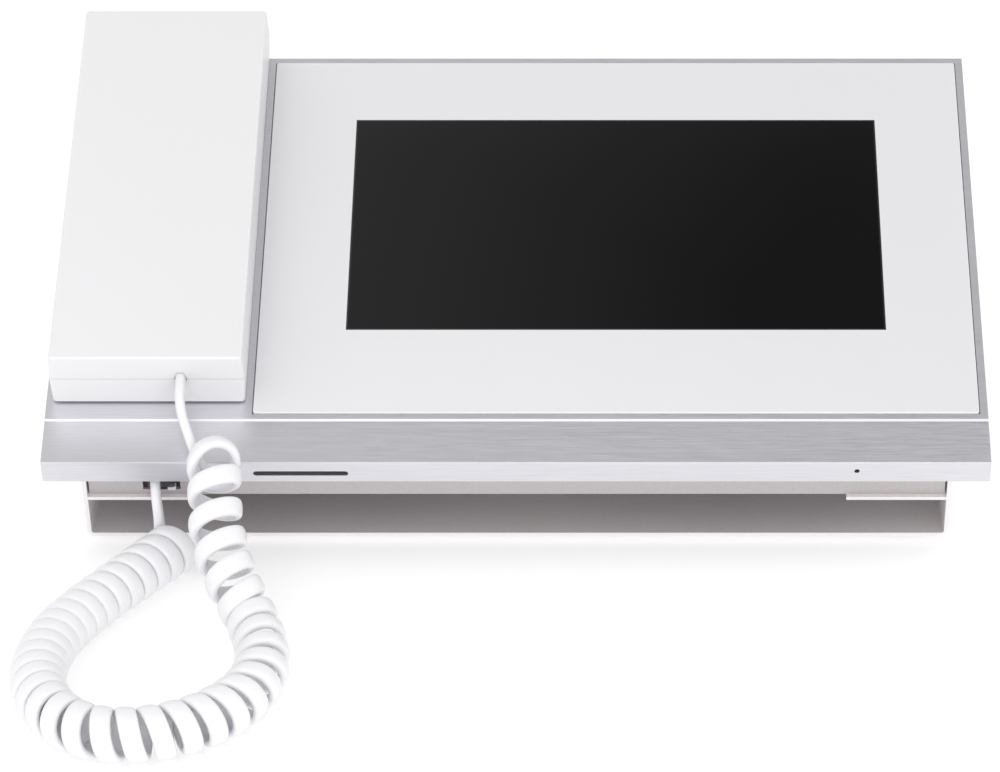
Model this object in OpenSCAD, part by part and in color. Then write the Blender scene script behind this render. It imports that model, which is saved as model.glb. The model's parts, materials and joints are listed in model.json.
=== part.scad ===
// Desk-standing video intercom monitor: a wide aluminium front frame with a
// seven-inch touch display under white glass, a corded handset on its left,
// a flat sheet-steel back box and a folded sheet-steel desk stand.
//
// Millimetres, +Z up, +X along the width, the user sits on the -Y side.
// Most pieces are drawn in the panel's own frame and tilted by on_panel():
// X across the width, Y up the panel from the glass's lower edge, and Z out
// of the panel, with 0 on the glass's front face.

/* [Stand] */
// Tilt of the panel from the desk, degrees
tilt = 20; // [12:1:30]
// Thickness of the stand's steel sheet
sheet_t = 1.2; // [1:0.1:1.6]
// Height of the rubber feet
foot_h = 1.5; // [1:0.1:3]
// Width of the stand's two top flanges
flange_w = 29.4; // [22:0.2:40]

/* [Front frame] */
// Width of the frame
frame_w = 264.5; // [262:0.5:280]
// Thickness of the frame's walls
frame_wall = 1.8; // [1.5:0.1:2]
// Depth of the frame, from its face to its rear edge
frame_depth = 8.9; // [8.5:0.1:9.5]
// Border between the glass and the frame's right side
border = 2.2; // [2:0.1:4]

/* [Glass and display] */
// Width of the cover glass
glass_w = 203.8; // [196:0.2:204]
// Height of the cover glass
glass_h = 142.7; // [140:0.1:143]
// Thickness of the cover glass
glass_t = 2; // [1.8:0.1:2]
// Width of the display module
module_w = 164.9; // [160:0.1:165]
// Height of the display module
module_h = 100; // [96:0.5:100]

/* [Back box] */
// Width of the steel back box
box_w = 241; // [230:1:241]
// Depth of the box's floor behind the glass's front face
box_floor = 21; // [21:0.5:24]

/* [Handset] */
// Width of the handset at its parting line
handset_w = 54.8; // [50:0.2:55]
// Length of the handset
handset_l = 142.5; // [130:0.5:150]
// Thickness of the handset
handset_t = 18; // [17:0.5:24]
// Height of the parting line above the handset's underside
parting = 9.4; // [9:0.1:10]
// Wall thickness of the handset's shells
shell_t = 1.8; // [1.6:0.1:2]

/* [Cord] */
// Thickness of the straight lead
lead_d = 2.8; // [2.4:0.1:3.2]
// Outside diameter of the coiled cord
coil_d = 15.4; // [14:0.2:16]

/* [Hidden] */
$fn = 48;
eps = 0.01;
gap = 0.25;

// Frame section, in panel Y and Z
frame_face = -0.5;
frame_back = frame_face - frame_depth;
frame_top = glass_h + 2.9;
strip_low = -2;
chin_top = [-2.6, -0.9];
chin_low = [-17.4, -1.5];
frame_low = -17.5;
edge_break = 0.5;
plate_back = -3.2;
duct_y = frame_low + frame_wall;
collar_h = 0.6;

// Speaker slot and microphone hole in the lower end face
slot_x = [-73.3, -46.8];
slot_n = -6.1;
slot_h = 1.8;
speaker_x = (slot_x[0] + slot_x[1]) / 2;
mic_x = 95;
mic_n = -5.1;
mic_d = 1.5;
boot_n = -5.8;

// Glass and display
glass_x = frame_w / 2 - border - gap - glass_w / 2;
glass_y = glass_h / 2;
recess_floor = -glass_t - 0.1;
display_x = glass_x;
display_y = 74.9;
module_t = 5;
module_front = recess_floor - 0.1;
module_back = module_front - module_t;

// Back box
box_wall = 1;
box_low = -11.9;
box_high = 133;
box_back = -box_floor;
rim_front = frame_back + box_wall;
socket_x = -100;
socket_opening = [[-105.2, -19], [-94.7, -11]];
boss_x = box_w / 2 + 5;
boss_ys = [8, 66, 124];
boss_hole = 3.4;
vent_xs = [for (i = [-5:5]) i * 14];
vent_ys = [18, 96];

// Board
board_x = [-116, 76];
board_y = [4, 123.5];
board_t = 1.6;
board_top = -14.8;
pillar_xy = [for (x = [-110, -20, 70]) for (y = [10, 119]) [x, y]];
terminal_x = -62;
terminal_pitch = 5;
terminal_ways = 8;
plug_w = 7.6;
plug_n = [-17.4, -11.6];

// Handset
handset_x = -103.3;
handset_low = 4;
handset_high = handset_low + handset_l;
handset_mid = (handset_low + handset_high) / 2;
handset_draft = 0.4;
handset_corner = 1.2;
handset_edge = 0.7;
exit_x = -93.8;
earpiece_y = 121;
handset_mic_y = 16;
magnet_ys = [44, 98];
magnet_d = 12;
magnet_h = 3;
screw_ys = [30, 88];
post_d = 6.4;
head_seat = 2.2;
hook_y = 136;
plunger_d = 5;
plunger_top = -0.3;
flange_n = -8.2;
hook_switch_y = 128;

// The stand, from the panel's reference point to the desk
rim_y = box_low - sheet_t;
stand_w = box_w + 2 * (sheet_t + 0.5);
stand_rear = 128;
mouth_n = -37.6;
bend_r = 1.9;
panel_z = foot_h - rim_y * sin(tilt) - mouth_n * cos(tilt);
front_reach = frame_low * cos(tilt) - (chin_low[1] - edge_break) * sin(tilt);
rear_reach = frame_top * cos(tilt) - frame_back * sin(tilt);
panel_y = -(front_reach + rear_reach) / 2;
stand_front = panel_y + rim_y * cos(tilt) - mouth_n * sin(tilt);
stand_back = world_y(stand_rear, box_back);
flange_screws = [for (x = [-1, 1]) for (y = [26, 104]) [x * (stand_w / 2 - 15), y]];
fixing_dx = 160;
fixing_dy = 60;
fixing_d = 4.5;
foot_d = 12;
cable_hole_d = 13;
cable_x = 84;
cable_y = 62;
cable_exit_z = 32;

// The cord's route, in the part's own frame. The leads are thin tubes. The
// coiled stretch is one tube of the coil's outside diameter, which hangs over
// the frame's front edge, comes down to the desk and lies there in a loop.
exit_out = 0.5;
lead_start = 0.4;
exit_point = world(exit_x, handset_low - exit_out - lead_start, parting);
upper_route = [
  exit_point,
  [-93.7, -66, 50.4],
  [-93.5, -69.5, 48.5],
  [-92.7, -73, 45.9],
  [-91.2, -76, 42.7],
  [-89.2, -79, 38.3],
  [-86.6, -81.4, 34.4],
  [-84, -83.2, 31.2]
];
coil_route = [
  [-83.9, -80.9, 36.3],
  [-83.3, -85.4, 37.2],
  [-82.9, -89.4, 35.6],
  [-82.6, -93.2, 32.6],
  [-82.4, -97.7, 28.8],
  [-81.4, -102.6, 24.8],
  [-80, -107.2, 21],
  [-77.8, -111.8, 17.4],
  [-75.5, -115.8, 14],
  [-73, -119.4, 10.9],
  [-70.3, -125.4, 8.5],
  [-67.8, -136, 7.9],
  [-67.4, -148, 7.9],
  [-70.6, -160, 7.9],
  [-77.6, -170, 7.9],
  [-87.4, -177, 7.9],
  [-98.6, -180.2, 7.9],
  [-109.8, -178.6, 7.9],
  [-119, -171, 7.9],
  [-124.8, -159.6, 7.9],
  [-126.6, -146.6, 7.9],
  [-124.6, -132, 7.9],
  [-119.6, -119.4, 7.9],
  [-113.4, -108, 7.9],
  [-107, -97.6, 7.9],
  [-101.4, -88.6, 7.9],
  [-96.6, -81, 7.9],
  [-95, -78.2, 7.9]
];
lower_route = [
  world(-101.5, box_low - 0.8, -13.5),
  [-101.2, -72.3, 22.8],
  [-100.8, -74.6, 20],
  [-100.4, -75.4, 16.4],
  [-100.2, -75.2, 12.6],
  [-100.1, -75.1, 10]
];

function world_y(y, n) = panel_y + y * cos(tilt) - n * sin(tilt);
function world_z(y, n) = panel_z + y * sin(tilt) + n * cos(tilt);
function world(x, y, n) = [x, world_y(y, n), world_z(y, n)];
function panel_point(y, n) = [world_y(y, n), world_z(y, n)];
function panel_y_at(wy, n) = (wy - panel_y + n * sin(tilt)) / cos(tilt);

function unit(v) = v / norm(v);
// A Catmull-Rom curve through four points, at t from 0 to 1 in the middle span
function curve_at(a, b, c, d, t) =
  0.5 * (2 * b + (c - a) * t + (2 * a - 5 * b + 4 * c - d) * t * t
         + (3 * b - a - 3 * c + d) * t * t * t);
function smooth(p, steps) = [
  for (i = [0:len(p) - 2]) for (k = [0:steps - 1])
    curve_at(p[max(i - 1, 0)], p[i], p[i + 1], p[min(i + 2, len(p) - 1)], k / steps),
  p[len(p) - 1]
];
function tangents(p) = [
  for (i = [0:len(p) - 1]) unit(p[min(i + 1, len(p) - 1)] - p[max(i - 1, 0)])
];
// Each ring's first direction is the last ring's, made square to the new tangent
function carried(ts, i, last) = i == len(ts) ? [] :
  let (n = unit(last - (last * ts[i]) * ts[i])) concat([n], carried(ts, i + 1, n));

// A round tube of diameter d swept along the points p
module tube(p, d, sides) {
  ts = tangents(p);
  ns = carried(ts, 0, [0.2, 0.3, 1]);
  rings = len(p);
  points = [
    for (i = [0:rings - 1]) for (k = [0:sides - 1])
      let (a = 360 * (k + 0.5) / sides)
        p[i] + d / 2 * (cos(a) * ns[i] + sin(a) * cross(ts[i], ns[i]))
  ];
  walls = [
    for (i = [0:rings - 2]) for (k = [0:sides - 1])
      let (a = i * sides + k, b = i * sides + (k + 1) % sides)
        [a, a + sides, b + sides, b]
  ];
  first = [for (k = [0:sides - 1]) k];
  last = [for (k = [sides - 1:-1:0]) (rings - 1) * sides + k];
  polyhedron(points, concat([first], walls, [last]), convexity = 10);
}

// Puts panel coordinates into the part's frame
module on_panel() {
  translate([0, panel_y, panel_z]) rotate([tilt, 0, 0]) children();
}

// Extrudes a section drawn in (Y, Z) along X, about X = 0
module along_x(width) {
  rotate([90, 0, 90]) linear_extrude(width, center = true) children();
}

// A box between two corners
module slab(low, high) {
  translate(low) cube(high - low);
}

// A hole through a wall that faces along Y
module hole_y(x, z, d, from, to) {
  translate([x, from, z]) rotate([-90, 0, 0]) cylinder(h = to - from, d = d);
}

// A pan-head screw whose head rests on Z = 0, with its shaft upwards
module screw(d, head_d, head_h, length) {
  translate([0, 0, -head_h]) difference() {
    cylinder(h = head_h, d = head_d);
    for (a = [0, 90]) rotate(a)
      translate([-head_d * 0.28, -0.35, -eps]) cube([head_d * 0.56, 0.7, head_h * 0.45]);
  }
  cylinder(h = length, d = d);
}

/* ---- Front ---- */

module frame_section() {
  polygon([
    [frame_low, frame_back],
    [frame_low, chin_low[1] - edge_break],
    chin_low,
    chin_top,
    [strip_low, frame_face],
    [frame_top - edge_break, frame_face],
    [frame_top, frame_face - edge_break],
    [frame_top, frame_back]
  ]);
}

module front_frame() {
  in_x = frame_w / 2 - frame_wall;
  color("#c6c6cd") on_panel() difference() {
    union() {
      difference() {
        along_x(frame_w) frame_section();
        slab([-in_x, frame_low + frame_wall, frame_back - 1],
             [in_x, frame_top - frame_wall, plate_back]);
      }
      // Bosses that the back box is screwed to
      for (x = [-boss_x, boss_x]) for (y = boss_ys)
        translate([x, y, rim_front]) cylinder(h = plate_back - rim_front + eps, d = post_d);
      // Collar that guides the hook plunger
      translate([handset_x, hook_y, plate_back - collar_h])
        cylinder(h = collar_h + eps, d = 9);
    }
    // Recess for the glass and the window for the display
    slab([glass_x - glass_w / 2 - gap, -gap, recess_floor],
         [glass_x + glass_w / 2 + gap, glass_h + gap, 1]);
    slab([display_x - module_w / 2 - gap, display_y - module_h / 2 - gap, plate_back - 1],
         [display_x + module_w / 2 + gap, display_y + module_h / 2 + gap, 1]);
    // Speaker slot and microphone hole in the lower end face
    speaker_slot(frame_low - 1, frame_low + frame_wall + 1);
    hole_y(mic_x, mic_n, mic_d, frame_low - 1, frame_low + frame_wall + 1);
    // Screw holes and the plunger's hole
    for (x = [-boss_x, boss_x]) for (y = boss_ys)
      translate([x, y, rim_front - 1]) cylinder(h = boss_hole + 1, d = 3.2);
    translate([handset_x, hook_y, plate_back - 3]) cylinder(h = 6, d = plunger_d + 0.4);
  }
}

module speaker_slot(from, to) {
  r = slot_h / 2;
  for (x = [slot_x[0] + r, slot_x[1] - r]) hole_y(x, slot_n, slot_h, from, to);
  slab([slot_x[0] + r, from, slot_n - r], [slot_x[1] - r, to, slot_n + r]);
}

module cover_glass() {
  color("#e6e6eb") on_panel() intersection() {
    translate([glass_x, glass_y, 0]) along_x(glass_w) polygon([
      [-glass_h / 2, -glass_t], [-glass_h / 2, -0.3], [-glass_h / 2 + 0.3, 0],
      [glass_h / 2 - 0.3, 0], [glass_h / 2, -0.3], [glass_h / 2, -glass_t]
    ]);
    translate([glass_x, glass_y, 0]) rotate([90, 0, 0])
      linear_extrude(glass_h + 2, center = true) polygon([
        [-glass_w / 2, -glass_t], [-glass_w / 2, -0.3], [-glass_w / 2 + 0.3, 0],
        [glass_w / 2 - 0.3, 0], [glass_w / 2, -0.3], [glass_w / 2, -glass_t]
      ]);
  }
}

module display_module() {
  color("#1d1d1f") on_panel()
    slab([display_x - module_w / 2, display_y - module_h / 2, module_back],
         [display_x + module_w / 2, display_y + module_h / 2, module_front]);
}

// Two steel straps that hold the display against the glass
module display_bracket() {
  strap_w = 12;
  wing = 8;
  foot = 5;
  color("#9a9a9e") on_panel() for (x = [-52, 52]) translate([display_x + x, 0, 0]) {
    slab([-strap_w / 2, display_y - module_h / 2 - wing, module_back - 1],
         [strap_w / 2, display_y + module_h / 2 + wing, module_back - 0.05]);
    for (s = [-1, 1]) {
      y = display_y + s * (module_h / 2 + wing - foot / 2);
      slab([-strap_w / 2, y - foot / 2, module_back - 0.1],
           [strap_w / 2, y + foot / 2, plate_back - 0.05]);
    }
  }
}

/* ---- Back box and stand ---- */

module back_box() {
  rim_x = frame_w / 2 - frame_wall - gap;
  rim_low = frame_low + frame_wall + gap;
  rim_high = frame_top - frame_wall - gap;
  color("#b4b1b0") on_panel() difference() {
    union() {
      slab([-rim_x, rim_low, frame_back], [rim_x, rim_high, rim_front]);
      slab([-box_w / 2, box_low, box_back], [box_w / 2, box_high, rim_front]);
    }
    slab([-box_w / 2 + box_wall, box_low + box_wall, box_back + box_wall],
         [box_w / 2 - box_wall, box_high - box_wall, rim_front + 1]);
    // Opening for the handset's socket, in the lower wall
    slab([socket_opening[0][0], box_low - 1, socket_opening[0][1]],
         [socket_opening[1][0], box_low + box_wall + 1, socket_opening[1][1]]);
    // Screw holes in the rim and in the floor
    for (x = [-boss_x, boss_x]) for (y = boss_ys)
      translate([x, y, frame_back - 1]) cylinder(h = 4, d = 3.4);
    for (p = flange_screws) translate([p[0], p[1], box_back - 1]) cylinder(h = 3, d = 4.4);
    // Cable entry and vents in the floor
    translate([cable_x, cable_y, box_back - 1]) cylinder(h = 3, d = cable_hole_d);
    for (x = vent_xs) for (y = vent_ys)
      slab([x - 4.5, y, box_back - 1], [x + 4.5, y + 2.4, box_back + 3]);
  }
}

module box_screws() {
  color("#8c8c90") on_panel() for (x = [-boss_x, boss_x]) for (y = boss_ys)
    translate([x, y, frame_back]) screw(3, 5.4, 1.8, boss_hole + 0.8);
}

// The wedge that the folded sheet encloses, less the front mouth
module stand_wedge(inset) {
  floor_z = foot_h + inset;
  top_n = box_back - inset;
  rear = stand_back - inset;
  front = inset > 0 ? -20 : 0;
  polygon([
    [stand_front + front, floor_z],
    [rear, floor_z],
    [rear, world_z(panel_y_at(rear, top_n), top_n)],
    panel_point(rim_y + front, top_n)
  ]);
}

// Cross-section of the folded channel, with rounded bends at the floor
module stand_channel(width, low, high, r) {
  x = width / 2 - r;
  rotate([90, 0, 0]) linear_extrude(400, center = true) union() {
    for (s = [-1, 1]) translate([s * x, low + r]) circle(r);
    polygon([[-x, low], [x, low], [x, low + r], [-x, low + r]]);
    polygon([[-width / 2, low + r], [width / 2, low + r], [width / 2, high], [-width / 2, high]]);
  }
}

module desk_stand() {
  inner_w = stand_w - 2 * sheet_t;
  color("#aaa6a6") difference() {
    union() {
      intersection() {
        along_x(stand_w) stand_wedge(0);
        stand_channel(stand_w, foot_h, 100, bend_r);
      }
      // Side tabs that stand up beside the back box
      on_panel() for (s = [-1, 1]) for (y = [rim_y, 92])
        slab([s > 0 ? stand_w / 2 - sheet_t : -stand_w / 2, y, box_back - 1],
             [s > 0 ? stand_w / 2 : -stand_w / 2 + sheet_t, y + 26, frame_back - 0.4]);
    }
    intersection() {
      along_x(inner_w) stand_wedge(sheet_t);
      stand_channel(inner_w, foot_h + sheet_t, 100, bend_r - sheet_t);
    }
    // The top is open between the two flanges, as far as the rear wall
    on_panel() slab([-stand_w / 2 + flange_w, rim_y - 5, box_back - 2],
                    [stand_w / 2 - flange_w, stand_rear - 2.4, box_back + 5]);
    on_panel() for (p = flange_screws)
      translate([p[0], p[1], box_back - 3]) cylinder(h = 5, d = 4.4);
    // Fixing holes in the floor, the bus cable's hole and a slot in the rear wall
    for (x = [-1, 1]) for (y = [-1, 1])
      translate([x * fixing_dx / 2, y * fixing_dy / 2, foot_h - 1])
        cylinder(h = sheet_t + 2, d = fixing_d);
    hole_y(cable_x, cable_exit_z, cable_hole_d, stand_back - 3, stand_back + 3);
    slab([-30, stand_back - 3, foot_h + 8], [30, stand_back + 3, foot_h + 26]);
  }
}

module stand_screws() {
  color("#8c8c90") on_panel() for (p = flange_screws)
    translate([p[0], p[1], box_back - sheet_t]) screw(4, 7.5, 2.4, 5);
}

module rubber_feet() {
  color("#2c2c2e") for (x = [-1, 1]) for (y = [stand_front + 12, stand_back - 12])
    translate([x * (stand_w / 2 - 14), y, 0]) difference() {
      cylinder(h = foot_h, d = foot_d);
      translate([0, 0, -eps]) cylinder(h = 0.4, d = foot_d - 5);
    }
}

/* ---- Electronics ---- */

module main_board() {
  color("#1f6b45") on_panel() difference() {
    slab([board_x[0], board_y[0], board_top - board_t], [board_x[1], board_y[1], board_top]);
    for (p = pillar_xy)
      translate([p[0], p[1], board_top - board_t - 1]) cylinder(h = 4, d = 3.2);
  }
}

module board_pillars() {
  color("#c9b26a") on_panel() for (p = pillar_xy)
    translate([p[0], p[1], box_back + box_wall]) difference() {
      cylinder(h = board_top - board_t - box_back - box_wall, d = 6, $fn = 6);
      translate([0, 0, 1]) cylinder(h = 10, d = 3.1);
    }
}

module board_screws() {
  color("#8c8c90") on_panel() for (p = pillar_xy)
    translate([p[0], p[1], board_top]) mirror([0, 0, 1]) screw(2.8, 5.2, 1.6, 3.8);
}

module shield_can() {
  color("#b9bbbe") on_panel() difference() {
    slab([-30, 40, board_top], [30, 84, board_top + 3.6]);
    slab([-29.6, 40.4, board_top - 1], [29.6, 83.6, board_top + 3.2]);
  }
}

// Flat flex that runs from the display's edge down to its connector
module ribbon_cable() {
  w = 22;
  color("#c98a3c") on_panel() translate([display_x, 0, 0]) {
    slab([-w / 2, 90, board_top + 2.6], [w / 2, 112, board_top + 2.9]);
    slab([-w / 2, 111.7, board_top + 2.6], [w / 2, 112, module_back - 0.1]);
    slab([-w / 2 - 2, 86, board_top], [w / 2 + 2, 91, board_top + 3.4]);
  }
}

module speaker() {
  color("#2b2b2d") on_panel() translate([speaker_x, 0, 0]) difference() {
    slab([-19, -10.5, -14], [19, 3, plate_back - 0.3]);
    slab([-15, -11, -8], [15, -9.5, -4.2]);
  }
}

// Foam ring that seals the speaker's mouth to the slot
module speaker_gasket() {
  color("#3a3a3c") on_panel() translate([speaker_x, 0, 0]) difference() {
    slab([-18, duct_y + 0.4, rim_front + 0.1], [18, -10.5, plate_back - 0.1]);
    slab([-15, duct_y - 1, rim_front + 1.2], [15, -9, -4.4]);
  }
}

// Thin woven screen just behind the slot
module speaker_mesh() {
  color("#303033") on_panel() translate([speaker_x, 0, 0])
    slab([-15.5, duct_y + 0.05, -7.6], [15.5, duct_y + 0.35, -4.6]);
}

module microphone() {
  color("#c7c9cb") on_panel() hole_y(mic_x, boot_n, 3.4, duct_y + 1.2, duct_y + 3.2);
}

module microphone_boot() {
  color("#2c2c2e") on_panel() difference() {
    hole_y(mic_x, boot_n, 4.8, duct_y + 0.05, duct_y + 3.6);
    hole_y(mic_x, boot_n, 3.5, duct_y + 1.15, duct_y + 4);
    hole_y(mic_x, mic_n, mic_d, duct_y - 1, duct_y + 2);
  }
}

module terminal_block() {
  w = terminal_ways * terminal_pitch + 2;
  color("#2f7d4f") on_panel() translate([terminal_x, 104, board_top]) difference() {
    slab([-w / 2, 0, 0], [w / 2, 9, 5.6]);
    for (i = [0:terminal_ways - 1]) {
      x = (i - (terminal_ways - 1) / 2) * terminal_pitch;
      translate([x, 5, 3]) cylinder(h = 4, d = 3.4);
      slab([x - 1.6, -1, 0.8], [x + 1.6, 3, 3.6]);
    }
  }
}

module terminal_screws() {
  color("#c9c9cc") on_panel() for (i = [0:terminal_ways - 1]) {
    x = terminal_x + (i - (terminal_ways - 1) / 2) * terminal_pitch;
    translate([x, 109, board_top + 3.05]) difference() {
      cylinder(h = 2, d = 3);
      translate([-1.6, -0.25, 1.4]) cube([3.2, 0.5, 1]);
    }
  }
}

module handset_socket() {
  color("#202022") on_panel() translate([socket_x, 0, 0]) difference() {
    slab([-6.2, box_low + box_wall + 0.1, board_top - 4.6], [6.2, 4, -10.2]);
    // Way in for the plug and the notch for its latch
    slab([-plug_w / 2 - 0.2, box_low, plug_n[0] - 0.2], [plug_w / 2 + 0.2, 1.4, plug_n[1] + 0.2]);
    slab([-1.9, box_low, plug_n[0] - 1.6], [1.9, -1, plug_n[0]]);
  }
}

module hook_switch() {
  color("#1e1e20") on_panel() translate([handset_x, hook_switch_y, 0]) difference() {
    slab([-4, -3.4, -19.9], [4, 3.4, -11.4]);
    translate([0, 0, -16]) cylinder(h = 6, d = 3.4);
  }
}

// Steel discs under the frame's plate, which the handset's magnets pull on
module keeper_plates() {
  color("#a8a8ab") on_panel() for (y = magnet_ys)
    translate([handset_x, y, plate_back - 1.25]) cylinder(h = 1.2, d = 20);
}

module rest_pads() {
  color("#d9d9db") on_panel() for (x = [-1, 1]) for (y = [handset_low + 9, handset_high - 22])
    translate([handset_x + x * 19, y, frame_face]) cylinder(h = 0.4, d = 8);
}

/* ---- Hook plunger ---- */

module hook_plunger() {
  color("#e8e8ea") on_panel() translate([handset_x, hook_y, 0]) {
    translate([0, 0, flange_n]) cylinder(h = plunger_top - flange_n, d = plunger_d);
    translate([0, 0, flange_n]) cylinder(h = 1, d = 8);
    slab([-2, hook_switch_y - hook_y - 2, flange_n], [2, 0, flange_n + 1]);
  }
}

module switch_button() {
  color("#b9402f") on_panel() translate([handset_x, hook_switch_y, -15.2])
    cylinder(h = 7, d = 2.8);
}

/* ---- Handset ---- */

// A ring of rounded section, closed in the middle: a corner for soft_block()
module corner_bead(r, edge) {
  rotate_extrude($fn = 32) intersection() {
    translate([r - edge, 0]) circle(edge, $fn = 24);
    translate([0, -edge]) square([r, 2 * edge]);
  }
}

// A block with upright corners of radius r and edges of radius edge at its outer
// end. Its parting face is at Z = 0, where it is widest, and it runs up to Z = h.
module soft_block(w, l, h, draft, r, edge) {
  hull() for (x = [-1, 1]) for (y = [-1, 1]) {
    translate([x * (w / 2 - r), y * (l / 2 - r), 0]) cylinder(h = 0.5, r = r, $fn = 32);
    translate([x * (w / 2 - r - draft), y * (l / 2 - r), h - edge]) corner_bead(r, edge);
  }
}

// Plan outline with rounded corners, used for the flat cavities
module round_plan(w, l, h, r) {
  linear_extrude(h) {
    square([w - 2 * r, l], center = true);
    square([w, l - 2 * r], center = true);
    for (x = [-1, 1]) for (y = [-1, 1]) translate([x * (w / 2 - r), y * (l / 2 - r)]) circle(r);
  }
}

module handset_upper_shell() {
  h = handset_t - parting;
  color("#f1f1f3") on_panel() difference() {
    union() {
      difference() {
        translate([handset_x, handset_mid, parting])
          soft_block(handset_w, handset_l, h, handset_draft, handset_corner, handset_edge);
        translate([handset_x, handset_mid, parting - 1])
          round_plan(handset_w - 2 * shell_t - 1, handset_l - 2 * shell_t, h + 1 - shell_t, 1);
      }
      // Posts that take the screws
      for (y = screw_ys) translate([handset_x, y, parting + 0.1])
        cylinder(h = h - shell_t, d = post_d);
    }
    for (y = screw_ys) translate([handset_x, y, parting - 1]) cylinder(h = 5.6, d = 3);
    hole_y(exit_x, parting, lead_d + 0.6, handset_low - 1, handset_low + shell_t + 1);
  }
}

module handset_lower_shell() {
  color("#f1f1f3") on_panel() difference() {
    union() {
      difference() {
        translate([handset_x, handset_mid, parting - 0.1]) mirror([0, 0, 1])
          soft_block(handset_w, handset_l, parting - 0.1, handset_draft, handset_corner, 0.4);
        translate([handset_x, handset_mid, shell_t])
          round_plan(handset_w - 2 * shell_t - 2.2, handset_l - 2 * shell_t, parting, 1);
      }
      for (y = screw_ys) translate([handset_x, y, 1]) cylinder(h = parting - 1.4, d = post_d);
    }
    // Sound holes under the earpiece, the microphone's hole and the screws
    translate([handset_x, earpiece_y, -1]) cylinder(h = 4, d = 2.2);
    for (a = [0:60:300]) translate([handset_x, earpiece_y, -1]) rotate(a)
      translate([5, 0, 0]) cylinder(h = 4, d = 2.2);
    translate([handset_x, handset_mic_y, -1]) cylinder(h = 4, d = 1.6);
    for (y = screw_ys) translate([handset_x, y, -1]) {
      cylinder(h = 20, d = 3.2);
      cylinder(h = head_seat + 1, d = 6);
    }
    hole_y(exit_x, parting, lead_d + 0.6, handset_low - 1, handset_low + shell_t + 1);
  }
}

module earpiece() {
  color("#343437") on_panel() translate([handset_x, earpiece_y, 0]) {
    translate([0, 0, 3.2]) cylinder(h = 2, d = 32);
    translate([0, 0, 5.2]) cylinder(h = 4, d = 20);
  }
}

module earpiece_gasket() {
  color("#3c3c3e") on_panel() translate([handset_x, earpiece_y, shell_t + 0.05]) difference() {
    cylinder(h = 1.3, d = 31);
    translate([0, 0, -1]) cylinder(h = 4, d = 22);
  }
}

module handset_microphone() {
  color("#c7c9cb") on_panel() translate([handset_x, handset_mic_y, 3.1]) cylinder(h = 2.4, d = 6);
}

module handset_mic_boot() {
  color("#2c2c2e") on_panel() translate([handset_x, handset_mic_y, shell_t + 0.05]) difference() {
    cylinder(h = 4, d = 8);
    translate([0, 0, 1.2]) cylinder(h = 4, d = 6.1);
    translate([0, 0, -1]) cylinder(h = 3, d = 1.6);
  }
}

module handset_board() {
  color("#1f6b45") on_panel() difference() {
    slab([handset_x - 18, 20, 10.4], [handset_x + 18, 66, 11.6]);
    translate([handset_x, screw_ys[0], 9]) cylinder(h = 4, d = post_d + 1);
  }
}

module handset_weight() {
  color("#7c7c80") on_panel() slab([handset_x - 16, 60, 2.2], [handset_x + 16, 84, 8]);
}

module handset_magnets() {
  color("#c2c4c8") on_panel() for (y = magnet_ys)
    translate([handset_x, y, shell_t + 0.05]) cylinder(h = magnet_h, d = magnet_d);
}

module handset_screws() {
  color("#8c8c90") on_panel() for (y = screw_ys)
    translate([handset_x, y, head_seat - 0.05]) screw(2.9, 5.4, 1.6, 10.6);
}

// Soft bush that carries the lead out through the handset's lower end
module cord_gland() {
  inner = handset_low + shell_t;
  color("#ececee") on_panel() translate([exit_x, 0, parting]) rotate([-90, 0, 0]) {
    translate([0, 0, handset_low - exit_out])
      cylinder(h = inner - handset_low + exit_out + 0.3, d = lead_d + 0.3);
    translate([0, 0, inner + 0.15]) cylinder(h = 2, d = lead_d + 3);
  }
}

/* ---- Cord ---- */

module upper_lead() {
  color("#f4f4f5") tube(smooth(upper_route, 3), lead_d, 8);
}

module curly_cord() {
  color("#f4f4f5") tube(smooth(coil_route, 2), coil_d, 12);
}

module lower_lead() {
  color("#f4f4f5") tube(smooth(lower_route, 3), lead_d, 8);
}

module cord_plug() {
  color("#dfe3e6") on_panel() translate([socket_x, 0, 0]) {
    slab([-plug_w / 2, box_low - 0.8, plug_n[0]], [plug_w / 2, 0.8, plug_n[1]]);
    // Latch tongue
    slab([-1.5, box_low - 0.6, plug_n[0] - 1.2], [1.5, -1.4, plug_n[0] - 0.5]);
    slab([-1.5, -2.2, plug_n[0] - 1.2], [1.5, -1.4, plug_n[0] + 0.1]);
  }
}

front_frame();
cover_glass();
display_module();
display_bracket();
back_box();
box_screws();
desk_stand();
stand_screws();
rubber_feet();
main_board();
board_pillars();
board_screws();
shield_can();
ribbon_cable();
speaker();
speaker_gasket();
speaker_mesh();
microphone();
microphone_boot();
terminal_block();
terminal_screws();
handset_socket();
hook_switch();
keeper_plates();
rest_pads();
hook_plunger();
switch_button();
handset_upper_shell();
handset_lower_shell();
earpiece();
earpiece_gasket();
handset_microphone();
handset_mic_boot();
handset_board();
handset_weight();
handset_magnets();
handset_screws();
cord_gland();
upper_lead();
curly_cord();
lower_lead();
cord_plug();
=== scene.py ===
import json
import logging
import math
from dataclasses import dataclass, field
from enum import Enum
from typing import Any, Sequence

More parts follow.
